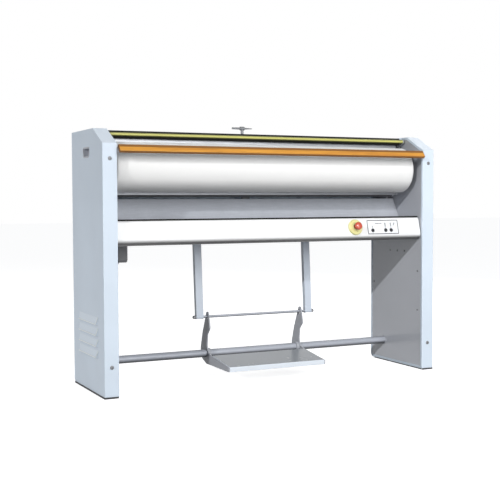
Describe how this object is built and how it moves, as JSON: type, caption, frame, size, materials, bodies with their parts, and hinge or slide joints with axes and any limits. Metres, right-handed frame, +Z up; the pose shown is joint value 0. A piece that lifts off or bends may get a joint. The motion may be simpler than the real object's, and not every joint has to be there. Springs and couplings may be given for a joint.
{
  "type": "flatwork ironer",
  "caption": "Roll ironer with a padded roll, a heated shoe behind it, a sloped feed board and a foot pedal, between two side cabinets.",
  "frame": {"origin": "centre of the footprint on the floor, the cable gland and the feed board's overhang included", "axes": "+X along the roll to the operator's right, +Y from the operator towards the back, +Z up"},
  "size_m": [1.554, 0.454, 1.095],
  "materials": {
    "cover_paint": "satin powder coat, pale blue grey",
    "panel_paint": "semi-gloss grey paint",
    "housing_paint": "semi-gloss white paint",
    "tray_steel": "fine brushed sheet",
    "roll_cloth": "plain white cotton cover",
    "roll_felt": "needled felt",
    "roll_steel": "bare steel tube",
    "bright_steel": "drawn steel, polished",
    "zinc_steel": "zinc plated sheet",
    "bracket_steel": "grey paint",
    "board_wood": "varnished hardwood",
    "guard_yellow": "gloss yellow paint",
    "strip_black": "black rubber profile",
    "dark_plastic": "moulded",
    "shoe_aluminium": "polished working face",
    "machine_grey": "dark grey machine paint",
    "stop_yellow": "moulded",
    "stop_red": "moulded",
    "label_white": "bare film",
    "insulation": "glass fibre blanket",
    "foot_rubber": "solid rubber",
    "belt_rubber": "reinforced rubber"
  },
  "bodies": {
    "frame": {"left_cover": "cover_paint", "right_cover": "cover_paint", "left_side_panel": "panel_paint", "right_side_panel": "panel_paint", "grip_cups": "dark_plastic", "foot_rails": "foot_rubber", "cover_screws": "zinc_steel", "panel_screws": "zinc_steel", "bearings": "machine_grey", "frame_bolts": "zinc_steel", "drive_belt": "belt_rubber", "gearbox": "machine_grey", "motor": "machine_grey", "pivot_pins": "zinc_steel", "stretcher_tube": "bright_steel", "feed_board": "board_wood", "board_rail": "bracket_steel", "guard_strip": "strip_black", "guard_switch": "dark_plastic", "rear_cover": "cover_paint", "cover_cleats": "bracket_steel", "control_housing": "housing_paint", "housing_cheeks": "housing_paint", "catch_tray": "tray_steel", "tray_brackets": "panel_paint", "stop_base": "stop_yellow", "label_plate": "label_white", "switch_blocks": "dark_plastic", "rear_crossbar": "bracket_steel", "screw_nut": "zinc_steel", "pressure_spring": "zinc_steel", "control_box": "panel_paint", "cable_gland": "dark_plastic"},
    "roll": {"roll_drum": "roll_steel", "roll_journals": "roll_steel", "roll_padding": "roll_felt", "roll_cloth": "roll_cloth", "roll_pulley": "machine_grey"},
    "drive_output": {"motor_pulley": "machine_grey", "output_shaft": "bright_steel"},
    "shoe_carrier": {"shoe": "shoe_aluminium", "heater_rods": "zinc_steel", "shoe_insulation": "insulation", "shoe_back_cover": "zinc_steel", "carrier_arms": "bracket_steel", "carrier_beam": "bracket_steel", "drop_levers": "zinc_steel", "tie_rod": "bright_steel", "rod_caps": "dark_plastic"},
    "pedal": {"left_pedal_bracket": "bracket_steel", "right_pedal_bracket": "bracket_steel", "pedal_plate": "cover_paint", "pedal_hubs": "bracket_steel"},
    "finger_guard": {"guard_bar": "guard_yellow", "guard_arms": "bracket_steel"},
    "stop_head": {"stop_button": "stop_red"},
    "first_button": {"push_button_1": "dark_plastic"},
    "second_button": {"push_button_2": "dark_plastic"},
    "third_button": {"push_button_3": "dark_plastic"},
    "hand_screw": {"hand_screw": "bright_steel"}
  },
  "joints": [
    {"name": "roll_spin", "type": "hinge", "parent": "frame", "child": "roll", "pos_m": [0, -0.073, 0.899], "axis": [1, 0, 0], "continuous": true},
    {"name": "output_spin", "type": "hinge", "parent": "frame", "child": "drive_output", "pos_m": [-0.74, 0.097, 0.565], "axis": [1, 0, 0], "continuous": true},
    {"name": "pedal_press", "type": "hinge", "parent": "frame", "child": "pedal", "pos_m": [0.017, 0.106, 0.099], "axis": [1, 0, 0], "range_deg": [0, 9], "stiffness_Nm_per_rad": 90, "springref_deg": -28.65},
    {"name": "shoe_swing", "type": "hinge", "parent": "frame", "child": "shoe_carrier", "pos_m": [0, 0.007, 0.62], "axis": [1, 0, 0], "range_deg": [-4.08, 0], "deforming": ["pressure_spring"]},
    {"name": "guard_lift", "type": "hinge", "parent": "frame", "child": "finger_guard", "pos_m": [0, -0.017, 1.011], "axis": [1, 0, 0], "range_deg": [-10, 0]},
    {"name": "stop_push", "type": "slide", "parent": "frame", "child": "stop_head", "axis": [0, 0.9668, -0.2555], "range_m": [0, 0.005]},
    {"name": "first_button_push", "type": "slide", "parent": "frame", "child": "first_button", "axis": [0, 0.9668, -0.2555], "range_m": [0, 0.003], "stiffness_N_per_m": 300, "springref_m": -0.004},
    {"name": "second_button_push", "type": "slide", "parent": "frame", "child": "second_button", "axis": [0, 0.9668, -0.2555], "range_m": [0, 0.003], "stiffness_N_per_m": 300, "springref_m": -0.004},
    {"name": "third_button_push", "type": "slide", "parent": "frame", "child": "third_button", "axis": [0, 0.9668, -0.2555], "range_m": [0, 0.003], "stiffness_N_per_m": 300, "springref_m": -0.004},
    {"name": "hand_screw_turn", "type": "hinge", "parent": "frame", "child": "hand_screw", "pos_m": [0, 0.176, 1.046], "axis": [0, 0, 1], "continuous": true}
  ],
  "couplings": [
    {"joint": "output_spin", "follows": "roll_spin", "ratio": 2},
    {"joint": "shoe_swing", "follows": "pedal_press", "ratio": -0.45328}
  ]
}
